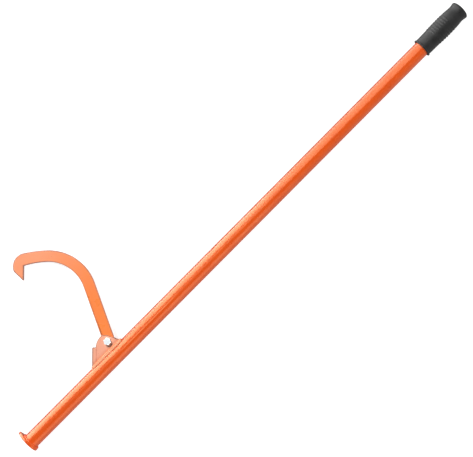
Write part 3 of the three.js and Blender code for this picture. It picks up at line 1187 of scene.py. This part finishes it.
    def stop_weld(self) -> Piece:
        """Lays the weld across the stop plate's outer foot, on the line where it meets the tube.

        Returns:
            The weld.
        """
        sink, last = 1, 10
        spread = math.asin(self.outer_face / self.tube_radius)
        spots = []
        for turn in (spread * (2 * i / last - 1) for i in range(last + 1)):
            fall = self.tube_radius * (1 - math.cos(turn)) / math.tan(math.radians(self.stop_angle))
            depth = self.tube_radius - sink
            spots.append(Vector((self.stop_station - fall + sink, depth * math.cos(turn),
                                 depth * math.sin(turn))))
        out = Vector((-1, 0.6, 0)).normalized()
        drops = [(spot, (spots[min(i + 1, last)] - spots[max(i - 1, 0)]).normalized(), out)
                 for i, spot in enumerate(spots)]
        bead = WeldBead(self.stop_bead_radius, pitch=2.0, grain=0.35, seed=5)
        return bead.lay("stop_plate_bead", drops)

    def dress(self, finishes: Finishes) -> list[Piece]:
        """Builds the clevis's pieces and mounts them in their paint.

        Args:
            finishes: The tool's materials.

        Returns:
            The cheeks and their welds.
        """
        plate, bead = finishes.clevis_paint, finishes.weld_paint
        mount(self.stop_plate(), "stop_plate", plate)
        mount(self.stop_weld(), "stop_plate_weld", bead, smooth=Smooth.SOFT)
        cheeks = []
        for side in Side:
            node = f"{side.name.lower()}_cheek"
            cheeks += [
                mount(self.cheek(side), node, plate),
                mount(self.cheek_weld(side), node + "_weld", bead, smooth=Smooth.SOFT)]
        return cheeks


@dataclass
class PivotFastener:
    """The bolt that the hook swings on, with its lock nut and nylon ring. Lengths are in millimetres.

    Attributes:
        pivot: The pivot's place along the tube and its height above the tube's axis.
        seat: The distance of the head's and the nut's seat from the middle.
        radius: The bolt's radius.
        wrench: The size across the flats.
        head: The height of the head.
        chamfer: The height of the chamfer on the hexagons.
        top_share: The flat top's diameter as a share of the size across the flats.
        edge: The rounding of the hexagons' edges.
        nut: The height of the nut's hexagon.
        collar: The height of the nut's collar.
        collar_radius: The collar's radius.
        ring_radius: The nylon ring's radius.
        lip: The lip that holds the ring.
        tip: How far the bolt's tip stands out of the nut.
        gap: The gap between the nut and the bolt.
        thread_pitch: The distance between the thread's turns.
        thread_depth: How deep the thread is cut.
        thread_form: Where a turn's crest ends and where its root lies, as shares of the pitch.
        columns: How many facets go round its round parts.
    """

    pivot: tuple[float, float] = PIVOT
    seat: float = 8.65
    radius: float = 4.0
    wrench: float = 13.0
    head: float = 5.3
    chamfer: float = 0.8
    top_share: float = 0.95
    edge: float = 0.25
    nut: float = 5.4
    collar: float = 2.6
    collar_radius: float = 6.0
    ring_radius: float = 5.1
    lip: float = 0.6
    tip: float = 0.8
    gap: float = 0.3
    thread_pitch: float = 1.25
    thread_depth: float = 0.6
    thread_form: tuple[float, float] = (0.2, 0.6)
    columns: int = 72

    def _turned(self, name: str, profile: Iterable[tuple[float, float]], closed: bool = False) -> Piece:
        """Turns a profile about the pivot's axis.

        Args:
            name: The name of the new object.
            profile: The radius and height of its corners.
            closed: Whether it comes back to its first corner instead of ending on the axis.

        Returns:
            The turned solid.
        """
        x, y = self.pivot
        points = [(x + radius, y, height) for radius, height in profile]
        return turned(name, points, (x, y, 0), (0, 0, 1), self.columns, closed)

    def _hexagon(self, name: str, low: float, high: float, face: int) -> Piece:
        """Makes a hexagon with one end chamfered round.

        Args:
            name: The name of the new object.
            low: The height of its lower end.
            high: The height of its upper end.
            face: 1 where the upper end is chamfered, -1 where the lower end is.

        Returns:
            The hexagon.
        """
        corner = self.wrench / math.sqrt(3)
        piece = begin(
            bpy.ops.mesh.primitive_cylinder_add, name, vertices=6, radius=corner, depth=high - low,
            location=(*self.pivot, (low + high) / 2), rotation=(0, 0, QUARTER_TURN))
        flat = self.wrench * self.top_share / 2
        top, foot = (high, low) if face > 0 else (low, high)
        shoulder, below = top - face * self.chamfer, foot - face
        wide = corner + 0.01  # just beyond the corners
        tool = self._turned("chamfer_tool", [
            (0, below), (wide, below), (wide, shoulder), (flat, top), (0, top)])
        cut_with(piece, tool, "INTERSECT")
        shape_with(piece, "BEVEL", width=self.edge, segments=2, limit_method="ANGLE",
                   angle_limit=math.radians(25))
        return piece

    def bolt(self) -> Piece:
        """Makes the bolt: a hexagon head and a shank whose end is threaded.

        Returns:
            The bolt.
        """
        head = self._hexagon("zinc_bolt", self.seat, self.seat + self.head, 1)
        end = -(self.seat + self.nut + self.collar + self.tip)
        lead = 1.0  # the length of the taper that the thread starts with
        profile = [(0, end), (self.radius - 2 * self.thread_depth, end)]
        crest, root = (share * self.thread_pitch for share in self.thread_form)
        height = end + lead
        while height < -self.seat:
            profile += [(self.radius, height), (self.radius, height + crest),
                        (self.radius - self.thread_depth, height + root)]
            height += self.thread_pitch
        profile += [(self.radius, -self.seat + 1), (self.radius, self.seat + 1), (0, self.seat + 1)]
        return joined([head, self._turned("shank", profile)])

    def nut_piece(self) -> Piece:
        """Makes the lock nut: a hexagon with a round collar, whose lip holds the ring.

        Returns:
            The nut.
        """
        bore, room, lip = self.radius + self.gap, self.ring_radius + self.gap, self.lip
        side = self.collar_radius
        foot = -self.seat
        shoulder = foot - self.nut
        top = shoulder - self.collar
        piece = self._hexagon("zinc_lock_nut", shoulder, foot, -1)
        # The collar starts inside the hexagon, and its lip is curled in over the ring.
        collar = self._turned("collar", [
            (bore, foot - 1), (side - 1, foot - 1), (side, shoulder + 0.4), (side, top + lip),
            (side - 0.2, top + 0.2), (side - lip, top), (bore + lip, top), (bore + lip, top + lip),
            (room, top + lip), (room, shoulder), (bore, shoulder)], closed=True)
        cut_with(piece, self._turned("drill", [
            (0, foot + 2), (bore, foot + 2), (bore, shoulder - 2), (0, shoulder - 2)]))
        return joined([piece, collar])

    def ring(self) -> Piece:
        """Makes the nylon ring inside the nut's collar.

        Returns:
            The ring.
        """
        bore = self.radius + self.gap
        low = -(self.seat + self.nut + self.collar - self.lip - self.gap)
        high = -(self.seat + self.nut + self.gap)
        return self._turned("nylon_ring", [
            (bore, low), (self.ring_radius, low), (self.ring_radius, high), (bore, high)], closed=True)

    def dress(self, finishes: Finishes) -> Piece:
        """Builds the fastener's pieces and mounts them in zinc and nylon.

        Args:
            finishes: The tool's materials.

        Returns:
            The bolt.
        """
        bolt = mount(self.bolt(), "pivot_bolt", finishes.zinc, smooth=Smooth.HEXAGON)
        mount(self.nut_piece(), "lock_nut", finishes.zinc, smooth=Smooth.HEXAGON)
        mount(self.ring(), "nut_insert", finishes.nylon)
        return bolt


@dataclass
class SwingHook:
    """The flat bar with a wide bend, whose beak ends in a sharp claw. Lengths are in millimetres.

    It is drawn in axes of its own: the pivot is at the origin, the arm runs along X and the bend turns
    towards Y. Angles are in degrees.

    Attributes:
        pivot: The pivot's place along the tube and its height above the tube's axis.
        rest_angle: The arm's angle to the tube at rest.
        thickness: The bar's thickness.
        width: The bar's width.
        off_centre: How far the pivot lies from the bar's middle line.
        arm: The length of the straight arm.
        bend: The radius of the bend's middle line and its angle.
        back: The radius and angle of the beak's back.
        throat: The radius and angle of the beak's throat.
        crown: The radius and angle of the crown over the claw.
        claw: The length and heading of the claw's inner edge.
        rounding: The rounding of the bar's edges.
        rim: The width of the marked rim on its flat sides.
        beak_edge: The distances from the tube's axis between which the painted shade of the outline comes
            up in full, at the beak.
    """

    pivot: tuple[float, float] = PIVOT
    rest_angle: float = 64.8
    thickness: float = 8.0
    width: float = 23.3
    off_centre: float = 2.6
    arm: float = 118.2
    bend: tuple[float, float] = (87.2, 72.7)
    back: tuple[float, float] = (274.0, 9.6)
    throat: tuple[float, float] = (184.0, 14.5)
    crown: tuple[float, float] = (26.9, 100.7)
    claw: tuple[float, float] = (30.0, 159.5)
    rounding: float = 1.5
    rim: float = 2.5
    beak_edge: tuple[float, float] = (203.0, 222.0)

    @staticmethod
    def _on_circle(centre: Vector, radius: float, heading: float) -> Vector:
        """Finds the place on a circle where someone walking it anticlockwise looks along a heading."""
        return centre + radius * Vector((math.sin(heading), -math.cos(heading), 0))

    def hook(self) -> Piece:
        """Draws the bar's outline, pulls it to its thickness, drills it and rounds its edges.

        Returns:
            The hook.
        """
        half = self.width / 2
        low = -self.thickness / 2
        bend_end = math.radians(self.bend[1])
        back_end = bend_end + math.radians(self.back[1])
        crown_end = back_end + math.radians(self.crown[1])
        throat_end = bend_end + math.radians(self.throat[1])
        eye = Vector((0, -self.off_centre, low))
        bend = Vector((self.arm, self.bend[0] - self.off_centre, low))
        back = self._on_circle(self._on_circle(bend, self.bend[0] + half, bend_end),
                               -self.back[0], bend_end)
        crown = self._on_circle(self._on_circle(back, self.back[0], back_end), -self.crown[0], back_end)
        throat = self._on_circle(self._on_circle(bend, self.bend[0] - half, bend_end),
                                 -self.throat[0], bend_end)
        corner = self._on_circle(throat, self.throat[0], throat_end)
        heading = math.radians(self.claw[1])
        claw_tip = corner + self.claw[0] * Vector((math.cos(heading), math.sin(heading), 0))

        start = eye + Vector((0, half, 0))
        pen = Pen("painted_hook", start)
        pen.arc(eye, HALF_TURN, steps=36)
        pen.line(bend - Vector((0, self.bend[0] + half, 0)))
        pen.arc(bend, bend_end, steps=36)
        pen.arc(back, back_end - bend_end, steps=8)
        pen.arc(crown, crown_end - back_end, steps=32)
        pen.line(claw_tip, corner)
        pen.arc(throat, bend_end - throat_end, steps=10)
        pen.arc(bend, -bend_end, steps=36)
        piece = pen.line(start).plate((0, 0, self.thickness))
        drill(piece, BOLT_HOLE)
        round_edges(piece, (0, 0, 1), self.rim, self.rounding, steps=4, sharp=30)
        piece.rotation_euler = (0, 0, math.radians(self.rest_angle))
        piece.location = (*self.pivot, 0)
        settle(piece)
        # The painted shade of the outline is half as strong on the arm and comes up in full at the beak.
        beak_start, beak_full = self.beak_edge
        fade_painted_light(piece, lambda c: 0.5 + 0.5 * (c.y - beak_start) / (beak_full - beak_start))
        return piece

    def dress(self, finishes: Finishes) -> None:
        """Builds the hook and mounts it in its paint."""
        mount(self.hook(), "hook", finishes.hook_paint, body=Body.HOOK)


@dataclass
class RubberGrip:
    """The moulded rubber sleeve over the tube's end, with patches of finger ribs.

    Lengths are in millimetres.

    Attributes:
        start: Where the sleeve's mouth lies along the tube.
        end: The outside of its domed end.
        bore: The radius of its inside.
        end_wall: The thickness of its end.
        dome: The height of the dome.
        dome_power: How square the dome's outline is, 1 being round and less being squarer.
        flange: The flange's thickness and its wall over the bore.
        walls: The wall over the bore at shares of the sleeve's length, from the neck to the waist.
        bulb_wall: The wall where the dome begins.
        ribs: How many ribs a patch has.
        rib_pitch: The distance between ribs.
        rib_width: The width of a rib.
        rib_height: How far a rib stands proud.
        rib_flank: How far its flanks slope in.
        rib_centre: The middle of the patches, as a share of the sleeve's length.
        patch_turns: Where the patches lie, in degrees from the top towards the hook's side.
        patch_half: Half of a patch's spread round the tube, in degrees.
        rings: How many rings shape the side below the ribs, the side above them, and the dome.
        columns: How many facets go round the sleeve.
    """

    start: float = 1108.0
    end: float = 1220.9
    bore: float = 16.3
    end_wall: float = 6.0
    dome: float = 6.5
    dome_power: float = 0.8
    flange: tuple[float, float] = (2.8, 3.7)
    walls: tuple[tuple[float, float], ...] = (
        (0.05, 2.25), (0.24, 2.65), (0.5, 3.45), (0.74, 3.0), (0.86, 1.8))
    bulb_wall: float = 3.5
    ribs: int = 7
    rib_pitch: float = 6.2
    rib_width: float = 3.4
    rib_height: float = 0.8
    rib_flank: float = 0.25
    rib_centre: float = 0.47
    patch_turns: tuple[float, ...] = (28.0, 118.0, 208.0, 298.0)
    patch_half: float = 27.6
    rings: tuple[int, int, int] = (5, 7, 7)
    columns: int = 72

    @property
    def first_rib(self) -> float:
        """The place of the first rib's middle."""
        middle = self.start + self.rib_centre * (self.end - self.start)
        return middle - self.rib_pitch * (self.ribs - 1) / 2

    def _knots(self) -> list[tuple[float, float]]:
        """Finds the points that the sleeve's side runs through.

        Returns:
            Their places and radii.
        """
        length = self.end - self.start
        knots = [(self.start + share * length, self.bore + wall) for share, wall in self.walls]
        return [*knots, (self.end - self.dome, self.bore + self.bulb_wall)]

    def radius_at(self, station: float) -> float:
        """Finds the sleeve's radius, on a smooth curve through its knots.

        Args:
            station: The place along the tube.

        Returns:
            The radius there.
        """
        knots = self._knots()
        last = len(knots) - 1
        i = max(k for k in range(last) if knots[k][0] <= station or k == 0)
        before, low, high, after = (knots[max(0, min(last, k))] for k in (i - 1, i, i + 1, i + 2))
        span = high[0] - low[0]
        t = (station - low[0]) / span
        rise_low = (high[1] - before[1]) / max(high[0] - before[0], 1) * span
        rise_high = (after[1] - low[1]) / max(after[0] - low[0], 1) * span
        return ((2 * t**3 - 3 * t**2 + 1) * low[1] + (t**3 - 2 * t**2 + t) * rise_low
                + (3 * t**2 - 2 * t**3) * high[1] + (t**3 - t**2) * rise_high)

    def _rings(self) -> tuple[list[float], list[float], list[float]]:
        """Finds where the rings of the sleeve's side lie.

        Returns:
            The places below the ribs, at both edges of every rib, and above the ribs.
        """
        crests = [self.first_rib + i * self.rib_pitch for i in range(self.ribs)]
        edges = [crest + side * self.rib_width / 2 for crest in crests for side in (-1, 1)]
        neck, bulb = self._knots()[0][0], self._knots()[-1][0]
        below, above, _ = self.rings
        lower = [neck + (edges[0] - neck) * i / below for i in range(below)]
        upper = [edges[-1] + (bulb - edges[-1]) * i / above for i in range(1, above + 1)]
        return lower, edges, upper

    def grip(self) -> Piece:
        """Turns the sleeve, raises its ribs and softens its forms.

        Returns:
            The grip.
        """
        start, bore = self.start, self.bore
        lip, rim = start + self.flange[0], bore + self.flange[1]
        cavity = self.end - self.end_wall
        lower, edges, upper = self._rings()
        bulb = bore + self.bulb_wall
        dome = [(self.end - self.dome + self.dome * math.sin(t) ** self.dome_power,
                 bulb * math.cos(t) ** self.dome_power)
                for t in (QUARTER_TURN * k / self.rings[2] for k in range(1, self.rings[2]))]
        # Rings a fraction of a millimetre apart keep an edge crisp when the form is softened.
        inside = [(cavity, 0), (cavity, bore * 0.6), (cavity, bore - 0.6), (cavity, bore),
                  (cavity - 1, bore), (start + 1, bore), (start + 0.2, bore), (start, bore + 0.3)]
        flange = [(start, rim - 0.5), (start + 0.2, rim), (lip - 0.4, rim), (lip, rim - 0.5),
                  (lip + 0.1, self.radius_at(lower[0]) + 0.2)]
        side = [(x, self.radius_at(x)) for x in (*lower, *edges, *upper)]
        piece = turned(
            "rubber_grip_sleeve", [(x, r, 0) for x, r in (*inside, *flange, *side, *dome, (self.end, 0))],
            (0, 0, 0), (1, 0, 0), self.columns)
        with editing(piece):
            pick(piece, "FACE", self._on_a_rib)
            bpy.ops.mesh.inset(thickness=self.rib_flank, depth=0, use_even_offset=True)
            bpy.ops.mesh.extrude_region_shrink_fatten(
                TRANSFORM_OT_shrink_fatten={"value": self.rib_height})
        shape_with(piece, "SUBSURF", levels=2, render_levels=2)
        # A painted highlight: the crests of the ribs are painted paler, except on the side away from the
        # hook, away from the key light.
        margin = 2
        first, last = edges[0] - margin, edges[-1] + margin
        mark_painted_light(piece, lambda c: (math.hypot(c.y, c.z) - self.radius_at(c.x)) / self.rib_height
                 if first < c.x < last and c.y > -bore / 2 else 0)
        return piece

    def _on_a_rib(self, face: bmesh.types.BMFace) -> bool:
        """Says whether a face of the turned sleeve belongs to a rib.

        Args:
            face: The face.

        Returns:
            Whether it does.
        """
        centre = face.calc_center_median()
        from_first = centre.x - self.first_rib
        nearest = round(from_first / self.rib_pitch)
        inside = math.hypot(centre.y, centre.z) < self.bore + 0.5
        if inside or not 0 <= nearest < self.ribs or abs(from_first - nearest * self.rib_pitch) > 0.1:
            return False
        turn = math.degrees(math.atan2(centre.y, centre.z)) % 360
        return any(abs((turn - patch + 180) % 360 - 180) < self.patch_half for patch in self.patch_turns)

    def dress(self, finishes: Finishes) -> None:
        """Builds the grip and mounts it in its rubber."""
        mount(self.grip(), "grip", finishes.rubber, smooth=Smooth.SOFT)


# The studio


@dataclass
class Sun:
    """A far lamp that casts a shadow.

    Attributes:
        name: The light's name.
        source: The direction that it shines from.
        width: Its width in the sky, in degrees, which makes shadows soft.
        strength: Its strength.
        mirrored: Whether glossy surfaces mirror it.
    """

    name: str
    source: tuple[float, float, float]
    width: float
    strength: float
    mirrored: bool = False

    def hang(self) -> None:
        """Hangs the lamp."""
        data = bpy.data.lights.new(self.name, "SUN")
        data.energy = self.strength
        data.angle = math.radians(self.width)
        light = bring_in(self.name, data)
        light.rotation_euler = Vector(self.source).to_track_quat("Z", "Y").to_euler()
        light.visible_glossy = self.mirrored


@dataclass
class Panel:
    """A soft panel that is seen only as a reflection in glossy surfaces. Lengths are in metres.

    Attributes:
        name: The light's name.
        spot: Its middle.
        aim: The point that it faces.
        size: Its width and height.
        power: Its power in watts.
    """

    name: str
    spot: tuple[float, float, float]
    aim: tuple[float, float, float]
    size: tuple[float, float]
    power: float

    def hang(self) -> None:
        """Hangs the panel."""
        data = bpy.data.lights.new(self.name, "AREA")
        data.shape = "RECTANGLE"
        data.size, data.size_y = self.size
        data.energy = self.power
        light = bring_in(self.name, data)
        light.location = self.spot
        light.rotation_euler = (Vector(self.aim) - Vector(self.spot)).to_track_quat("-Z", "Y").to_euler()
        light.visible_camera = False
        light.visible_diffuse = False


@dataclass
class Studio:
    """The pale floor, the soft light and the camera. Lengths are in metres, angles in degrees.

    A sky range holds two heights of the sky, from -1 below to 1 above, and the strengths at them.

    Attributes:
        camera_place: Where the camera hangs.
        camera_turn: The turn of the picture about the line of sight.
        view_width: The width of the picture on the plane of the tool's axis.
        floor_drop: How far below the lowest point of the tool the floor lies.
        floor_size: The floor's width.
        floor_paper: The floor's own colour.
        floor_glow: The light that it gives off, which keeps it pale.
        even_light: The sky range of the light on matt surfaces.
        gloss_above: The sky range that glossy surfaces mirror.
        gloss_below: The sky range that is added to that one below the horizon.
        backdrop: The strength of the sky where the camera sees it.
        lights: The key, the clevis's own key, the fill from the other side, the bolt's own sky and
            the panels.
    """

    camera_place: tuple[float, float, float] = (0.5947, 0.00875, 2.8)
    camera_turn: float = -45.18
    view_width: float = 0.9408
    floor_drop: float = 0.0002
    floor_size: float = 60.0
    floor_paper: str = "#b4b4b4"
    floor_glow: float = 0.82
    even_light: tuple[float, ...] = (-0.02, 0.02, 0.5, 0.18)
    gloss_above: tuple[float, ...] = (0.1, 1.0, 1.3, 0.12)
    gloss_below: tuple[float, ...] = (-1.0, -0.4, -1.2, 0.0)
    backdrop: float = 1.1
    lights: tuple[Sun | Panel, ...] = (
        Sun("key", (0.0, 0.616, 0.788), 7, 2.1),
        Sun("clevis_key", (0.16, 0.79, 0.6), 5, 4.17),
        Sun("counter", (0.5, -0.612, 0.612), 40, 1.66),
        Sun("bolt_sky", (0.0, 0.0, 1.0), 150, 2.75, mirrored=True),
        Panel("side_panel", (-0.02, 1.0, 0.4), (-0.02, 0.0, 0.4), (1.56, 1.7), 86),
        Panel("far_side_panel", (1.16, 1.0, 0.4), (1.16, 0.0, 0.4), (0.8, 1.7), 23),
        Panel("over_panel", (1.1, 0.55, 1.3), (0.92, 0.0, 0.0), (1.0, 0.9), 12),
        Panel("middle_panel", (0.22, 0.3, 1.3), (0.3, 0.0, 0.0), (0.57, 0.64), 2.4),
        Panel("low_panel", (0.1, -1.0, 0.6), (0.1, 0.0, 0.0), (1.3, 0.8), 8.0),
    )

    def camera(self) -> None:
        """Hangs the camera straight above the tool."""
        data = bpy.data.cameras.new("camera")
        data.sensor_width = 36
        data.lens = data.sensor_width * self.camera_place[2] / self.view_width
        camera = bring_in("camera", data)
        camera.location = self.camera_place
        camera.rotation_euler = (0, 0, math.radians(self.camera_turn))
        bpy.context.scene.camera = camera

    def floor(self, lowest: float) -> None:
        """Lays the floor under the tool.

        Args:
            lowest: The height of the tool's lowest point.
        """
        floor = begin(bpy.ops.mesh.primitive_plane_add, "floor", size=self.floor_size,
                      location=(0, 0, lowest - self.floor_drop))
        floor.visible_diffuse = False
        floor.visible_glossy = False
        floor.visible_shadow = False
        # Lit paper: so pale that the tool's shadow leaves hardly a trace on it.
        material = bpy.data.materials.new("pale_floor")
        tree = empty_tree(material)
        paper = add_node(tree, "BsdfDiffuse", {"Color": linear(self.floor_paper)})
        glow = add_node(tree, "Emission", {"Color": linear("#ffffff"), "Strength": self.floor_glow})
        both = add_node(tree, "AddShader", {0: paper.outputs[0], 1: glow.outputs[0]})
        add_node(tree, "OutputMaterial", {"Surface": both.outputs[0]})
        floor.data.materials.append(material)
        floor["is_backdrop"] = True

    def sky(self) -> None:
        """Sets the even light from all round, which matt and glossy surfaces see differently."""
        world = bpy.data.worlds.new("studio")
        bpy.context.scene.world = world
        tree = empty_tree(world)
        spot = add_node(tree, "TexCoord").outputs["Generated"]
        height = add_node(tree, "SeparateXYZ", {0: spot}).outputs["Z"]
        dull, above, below = (
            add_node(tree, "MapRange", zip(RANGE, (height, *sky_range))).outputs[0]
            for sky_range in (self.even_light, self.gloss_above, self.gloss_below))
        gloss = add_node(tree, "Math", {0: above, 1: below}, operation="ADD")
        path = add_node(tree, "LightPath").outputs
        seen = add_node(tree, "Mix", zip(SWITCH, (path["Is Glossy Ray"], dull, gloss.outputs[0])))
        strength = add_node(tree, "Mix", zip(SWITCH, (
            path["Is Camera Ray"], seen.outputs[0], self.backdrop)))
        glow = add_node(tree, "Background", {
            "Color": linear("#ffffff"), "Strength": strength.outputs[0]})
        add_node(tree, "OutputWorld", {"Surface": glow.outputs[0]})

    def keep_for(self, light: str, *pieces: Piece, state: str = "INCLUDE") -> None:
        """Lets a light fall on some pieces alone, or on all but them.

        Args:
            light: The light's name.
            *pieces: The pieces.
            state: "INCLUDE" lights them alone, "EXCLUDE" lights all the others.
        """
        company = bpy.data.collections.new(light)
        for piece in pieces:
            company.objects.link(piece)
        for entry in company.collection_objects:
            entry.light_linking.link_state = state
        bpy.data.objects[light].light_linking.receiver_collection = company

    def set_up(self, lowest: float) -> None:
        """Sets up the whole studio.

        Args:
            lowest: The height of the tool's lowest point.
        """
        self.camera()
        self.floor(lowest)
        self.sky()
        for light in self.lights:
            light.hang()
        bpy.context.scene.view_settings.view_transform = "Standard"


def main() -> None:
    """Builds the studio below the CAD model's lowest point, and every piece of the tool."""
    logging.basicConfig(level=logging.INFO, format="%(name)s: %(message)s", stream=sys.stdout)
    cad_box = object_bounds()
    studio = Studio()
    studio.set_up(cad_box[0].z)
    finishes = Finishes()

    tube = Handle().dress(finishes)
    cheeks = Clevis().dress(finishes)
    SwingHook().dress(finishes)
    bolt = PivotFastener().dress(finishes)
    RubberGrip().dress(finishes)

    # Some lights reach some pieces alone, as if the others were shaded with cards.
    studio.keep_for("middle_panel", tube)
    studio.keep_for("clevis_key", *cheeks)
    studio.keep_for("key", *cheeks, state="EXCLUDE")
    studio.keep_for("counter", *cheeks, state="EXCLUDE")
    studio.keep_for("bolt_sky", bolt)
    studio.keep_for("side_panel", bolt, state="EXCLUDE")


if __name__ == "__main__":
    main()
